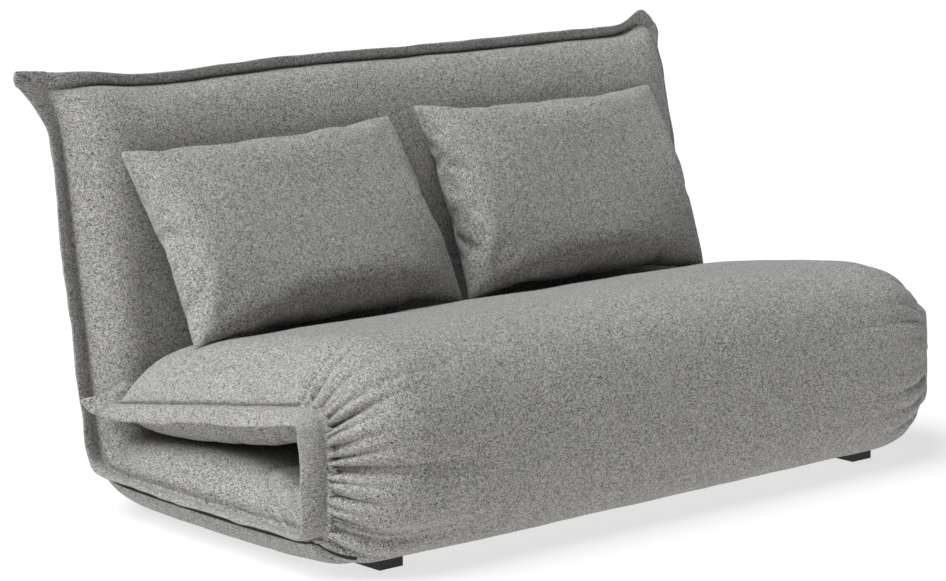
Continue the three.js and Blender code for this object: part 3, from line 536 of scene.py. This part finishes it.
def sleeve(name, front_skin, rear_skin, measured, capped):
    """A closed padded piece between two skins of points; the rows in capped are cut across."""
    rows, columns = front_skin.shape[:2]
    bm = bmesh.new()
    bmesh.ops.create_grid(bm, x_segments=columns - 1, y_segments=rows - 1, size=0.5)
    raised = bmesh.ops.extrude_face_region(bm, geom=bm.faces[:], use_keep_orig=True)
    lifted = [part for part in raised["geom"] if isinstance(part, bmesh.types.BMVert)]
    bmesh.ops.translate(bm, verts=lifted, vec=(0, 0, 1))
    both = np.stack([front_skin, rear_skin])
    grid = np.array([vert.co for vert in bm.verts])
    column = np.rint((grid[:, 0] + 0.5) * (columns - 1)).astype(int)
    row = np.rint((grid[:, 1] + 0.5) * (rows - 1)).astype(int)
    layer = np.rint(grid[:, 2]).astype(int)
    for vert, place in zip(bm.verts, both[layer, row, column]):
        vert.co = place
    bm.verts.index_update()
    for face in bm.faces:
        rows_of = {row[vert.index] for vert in face.verts}
        face.smooth = not (len(rows_of) == 1 and rows_of <= capped)
    for edge in bm.edges:
        edge.smooth = all(face.smooth for face in edge.link_faces)
    bmesh.ops.recalc_face_normals(bm, faces=bm.faces[:])
    if bm.calc_volume(signed=True) < 0:
        bmesh.ops.reverse_faces(bm, faces=bm.faces[:])
    mesh = bpy.data.meshes.new(name)
    bm.to_mesh(mesh)
    bm.free()
    corner = np.zeros(len(mesh.loops), np.int32)
    mesh.loops.foreach_get("vertex_index", corner)
    laid = measured[layer, row, column][corner]
    mesh.uv_layers.new(name="cloth").data.foreach_set("uv", laid.astype(np.float32).ravel())
    made = bpy.data.objects.new(name, mesh)
    bpy.context.scene.collection.objects.link(made)
    return made


YARNS = ("#D1CECA", "#1C1B19", "#918F8D")
cover_cloth = melange("woven_melange_polyester_cover", *YARNS)
front_row = int(np.argmin(np.abs(place_of - MID_FRONT)))
base_row = int(np.argmin(np.abs(place_of - MID_BASE)))
last_row = len(place_of) - 1
# Each bend starts and ends so many millimetres before and after its hinge, along the way given
# with it. The two at the front end before its middle, where the cover is cut across.
FRONT_WAY, FRONT_BEND = (-0.707, 0.707), (45, 18)
lengths = (
    ("cover_seat", 0, front_row, "front", "seat", "seat_fold", (0.76, 0.65), (27, 45),
     ("seat_foam_lower", "seat_foam_upper", "seat_edge", "front_foam_inner", "front_foam_outer",
      "front_edge_left", "front_edge_right")),
    ("cover_base", front_row, base_row, "base", "front", "front_fold", FRONT_WAY, FRONT_BEND,
     ("base_foam_upper", "base_foam_lower", "base_edge_left", "base_edge_right")),
    ("cover_back", base_row, last_row, "base", "back", "back_recline", (0.765, 0.644), (65, 65),
     ("back_foam_front", "back_foam_rear", "back_edge")),
)
for name, first, last, near_body, far_body, joint, way, bend, stands_for in lengths:
    part = slice(first, last + 1)
    capped = {n for n, r in ((0, first), (last - first, last)) if r in (front_row, base_row)}
    cover = sleeve(name, outer_skin[part], inner_skin[part], measure[:, part], capped)
    cover.data.materials.append(cover_cloth)
    onward = Vector((0, *way)) * MM
    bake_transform(cover)
    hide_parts(*stands_for)


# The zip under the base's left flange, where the cover comes off for washing. A black nylon coil
# on a woven tape, sewn along the seam; the coil's turns are drawn as one small bead each.
ZIP_TAPE = 5 * MM
ZIP_COIL = 2.2 * MM
way = np.linspace(0, 1, 220)
zip_place = np.interp(way, [0, 0.72, 0.8, 1], [26.2, 19.6, 18.9, 18.6])
zip_inside = np.interp(way, [0, 0.72, 0.8, 1], [4, 5, 10, 48]) * MM
for _ in range(40):
    zip_place[1:-1] = (zip_place[:-2] + zip_place[2:]) / 2
    zip_inside[1:-1] = (zip_inside[:-2] + zip_inside[2:]) / 2
rows_at = np.interp(zip_place, place_of, np.arange(len(place_of)))
columns_at = np.interp(zip_inside - SEAM, across, np.arange(len(across)))


def on_cover(field):
    """The field's values along the zip, evened out so that it bridges the small folds."""
    row, column = rows_at.astype(int), columns_at.astype(int)
    r, c = (rows_at - row)[:, None], (columns_at - column)[:, None]
    picked = ((field[row, column] * (1 - c) + field[row, column + 1] * c) * (1 - r)
              + (field[row + 1, column] * (1 - c) + field[row + 1, column + 1] * c) * r)
    for _ in range(60):
        picked[1:-1] = (picked[:-2] + 2 * picked[1:-1] + picked[2:]) / 4
    return picked


path = on_cover(outer_skin)
rise = on_cover(facing(outer_skin, 1))
rise /= np.linalg.norm(rise, axis=1)[:, None]
path += rise * 1.6 * MM
tangent = np.gradient(path, axis=0)
bm = bmesh.new()
previous = None
for point, up, onward in zip(path, rise, tangent):
    side_way = Vector(up).cross(Vector(onward)).normalized()
    ring = [bm.verts.new(Vector(point) + side_way * a * ZIP_TAPE / 2 + Vector(up) * b * MM)
            for a, b in ((-1, -0.5), (-1, 0.8), (-0.25, 1.2), (0.25, 1.2), (1, 0.8), (1, -0.5))]
    if previous:
        for n in range(6):
            bm.faces.new((previous[n], previous[(n + 1) % 6], ring[(n + 1) % 6], ring[n]))
    else:
        bm.faces.new(ring)
    previous = ring
bm.faces.new(previous[::-1])
path_run = np.concatenate([[0], np.cumsum(np.linalg.norm(np.diff(path, axis=0), axis=1))])
for distance in np.arange(0, path_run[-1], 3.0 * MM):
    here = [np.interp(distance, path_run, path[:, k]) + np.interp(distance, path_run, rise[:, k]) * 1.4 * MM
            for k in range(3)]
    bead = bmesh.ops.create_icosphere(bm, subdivisions=1, radius=ZIP_COIL / 2)
    bmesh.ops.translate(bm, verts=bead["verts"], vec=here)
bmesh.ops.recalc_face_normals(bm, faces=bm.faces[:])
mesh = bpy.data.meshes.new("base_zip_coil")
bm.to_mesh(mesh)
bm.free()
mesh.shade_smooth()
zip_line = bpy.data.objects.new("base_zip_coil", mesh)
bpy.context.scene.collection.objects.link(zip_line)
nylon, tree, shader = finish("nylon_coil_on_woven_tape")
place = node(tree, "TexCoord")
weave = node(tree, "TexNoise", sockets={
    "Vector": place.outputs["Object"], "Scale": 1 / (1.2 * MM), "Detail": 2.0})
shade = node(tree, "Mix", {"data_type": "RGBA"}, {
    0: weave.outputs[0], 6: linear("#141416"), 7: linear("#26262A")})
bump = node(tree, "Bump", sockets={"Height": weave.outputs[0], "Distance": 0.2 * MM, "Strength": 0.6})
tree.links.new(shade.outputs[2], shader.inputs["Base Color"])
tree.links.new(bump.outputs[0], shader.inputs["Normal"])
shader.inputs["Roughness"].default_value = 0.5
mesh.materials.append(nylon)
onward = Vector((0, *FRONT_WAY)) * MM
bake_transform(zip_line)
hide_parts("base_zip")


# The two loose pillows that lean on the back. Fibre-filled bags of the cover's cloth, sewn edge to
# edge, so the edges pucker and the corners stay pointed; each is blown up from a flat bag.
PILLOW_WIDE, PILLOW_HIGH = 0.575, 0.36
PILLOW_CELL = 8 * MM
FULLNESS = 124 * MM
pillow_cloth = melange("woven_melange_polyester_pillow", *YARNS)
PILLOW_FRONT, PILLOW_REAR = 80 * MM, 36 * MM  # how far each face stands out from the seam
# Each pillow's lean and roll in degrees, its seed, and how far it lies to the right, in millimetres.
PILLOWS = {"left": (32.5, 1.2, 5, 8), "right": (26.0, -0.8, 6, 9)}


def bag(name, seed):
    """A flat, closed bag of cloth, slightly uneven, blown up until it is as thick as the pillow."""
    wide, high = PILLOW_WIDE * 1.07, PILLOW_HIGH * 1.10
    columns, rows = int(wide / PILLOW_CELL), int(high / PILLOW_CELL)
    u, v = np.meshgrid(np.linspace(-0.5, 0.5, columns + 1), np.linspace(-0.5, 0.5, rows + 1))
    pinch = 1 + 0.02 * (1 - (2 * v) ** 2) * np.abs(2 * u) ** 3
    slim = 1 + 0.04 * (1 - (2 * u) ** 2) * np.abs(2 * v) ** 3
    noise = ripple(u * wide, v * high, 0.16, seed) * 1.2 * MM
    flat = np.stack([u * wide * pinch, np.zeros_like(u), v * high * slim], 2)
    edge = np.minimum(0.5 - np.abs(u), (0.5 - np.abs(v)))
    puff = (1.0 + 14 * np.clip(edge * 4, 0, 1) ** 0.5) * MM
    face = flat + np.stack([0 * u, -puff + noise, 0 * u], 2)
    rear = flat + np.stack([0 * u, puff + noise, 0 * u], 2)
    flat_cloth = np.stack([u * wide, v * high], 2)
    made = sleeve(name, face, rear, np.stack([flat_cloth, flat_cloth + 1.0]), set())
    cloth = made.modifiers.new("Cloth", "CLOTH")
    cloth.settings.quality = 6
    cloth.settings.mass = 0.25
    cloth.settings.tension_stiffness = 18
    cloth.settings.compression_stiffness = 14
    cloth.settings.shear_stiffness = 6
    cloth.settings.bending_stiffness = 0.6
    cloth.settings.use_pressure = True
    cloth.settings.uniform_pressure_force = 2.5
    cloth.settings.effector_weights.gravity = 0
    cloth.collision_settings.use_self_collision = False
    for number in range(1, 31):
        bpy.context.scene.frame_set(number)
        blown = made.evaluated_get(bpy.context.evaluated_depsgraph_get())
        depth = [vert.co.y for vert in blown.data.vertices]
        if max(depth) - min(depth) > FULLNESS:
            break
    bpy.context.view_layer.objects.active = made
    with bpy.context.temp_override(object=made, active_object=made):
        bpy.ops.object.modifier_apply(modifier="Cloth")
    bpy.context.scene.frame_set(1)
    return made


for side, (lean_back, roll, seed, shift) in PILLOWS.items():
    name = f"pillow_{side}"
    pillow = bag(f"{name}_stuffed", seed)
    points = np.array([vert.co for vert in pillow.data.vertices])
    size = points.max(0) - points.min(0)
    points -= (points.max(0) + points.min(0)) / 2
    points[:, 0] *= PILLOW_WIDE * 0.99 / size[0]
    points[:, 2] *= PILLOW_HIGH / size[2]
    sag = ease(-points[:, 2] / PILLOW_HIGH, -0.5, 0.5)
    depth = np.where(points[:, 1] < 0, PILLOW_FRONT, PILLOW_REAR) / np.abs(points[:, 1]).max()
    points[:, 1] *= depth * (0.92 + 0.12 * sag)
    roll, tilt = math.radians(roll), math.radians(lean_back)
    x = points[:, 0] * math.cos(roll) - points[:, 2] * math.sin(roll)
    z = points[:, 0] * math.sin(roll) + points[:, 2] * math.cos(roll)
    y = points[:, 1] * math.cos(tilt) + z * math.sin(tilt)
    z = z * math.cos(tilt) - points[:, 1] * math.sin(tilt)
    placed = np.stack([x, y, z], 1)
    low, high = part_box(name)
    placed += (np.array(low) + np.array(high)) / 2 - (placed.max(0) + placed.min(0)) / 2
    placed[:, 0] += shift * MM
    pillow.data.vertices.foreach_set("co", placed.astype(np.float32).ravel())
    pillow.data.update()
    smooth = pillow.modifiers.new("Subdivision", "SUBSURF")
    smooth.levels = smooth.render_levels = 1
    pillow.data.materials.append(pillow_cloth)
    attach(pillow, name)
    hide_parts(name)


# The plain studio: a pale floor without an edge in view, and wide, soft light from the upper left.
bm = bmesh.new()
bmesh.ops.create_grid(bm, x_segments=1, y_segments=1, size=30)
mesh = bpy.data.meshes.new("floor")
bm.to_mesh(mesh)
bm.free()
floor = bpy.data.objects.new("floor", mesh)
bpy.context.scene.collection.objects.link(floor)
paper, tree, shader = finish("matt_white_floor_paper")
place = node(tree, "TexCoord")
fibre = node(tree, "TexNoise", sockets={
    "Vector": place.outputs["Object"], "Scale": 1 / (400 * MM), "Detail": 2.0})
shade = node(tree, "Mix", {"data_type": "RGBA"}, {
    0: fibre.outputs[0], 6: linear("#A4A4A4"), 7: linear("#A8A8A8")})
tree.links.new(shade.outputs[2], shader.inputs["Base Color"])
shader.inputs["Emission Color"].default_value = linear("#FFFFFF")
shader.inputs["Emission Strength"].default_value = 0.66
shader.inputs["Roughness"].default_value = 0.9
shader.inputs["Specular IOR Level"].default_value = 0.1
mesh.materials.append(paper)
floor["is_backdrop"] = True

world = bpy.data.worlds.new("studio")
bpy.context.scene.world = world
world.use_nodes = True
world.node_tree.nodes["Background"].inputs["Color"].default_value = linear("#FFFFFF")
world.node_tree.nodes["Background"].inputs["Strength"].default_value = 0.15
bpy.context.scene.view_settings.view_transform = "Standard"
lamp = bpy.data.lights.new("key", "SUN")
lamp.energy = 1.15 * math.pi
lamp.angle = math.radians(45)
lamp.color = (0.955, 0.98, 1.0)
key = bpy.data.objects.new("key", lamp)
key.rotation_euler = Vector((-0.55, 0.06, 0.83)).to_track_quat("Z", "Y").to_euler()
bpy.context.scene.collection.objects.link(key)

lens = bpy.data.cameras.new("camera")
lens.sensor_width = 36
lens.lens = 121.24
lens.clip_end = 200
camera = bpy.data.objects.new("camera", lens)
camera.location = (-3.5167, -3.9197, 1.2992)
camera.rotation_euler = (math.radians(90 - 10.546), 0, math.radians(-41.196))
bpy.context.scene.collection.objects.link(camera)
bpy.context.scene.camera = camera

low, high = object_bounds()
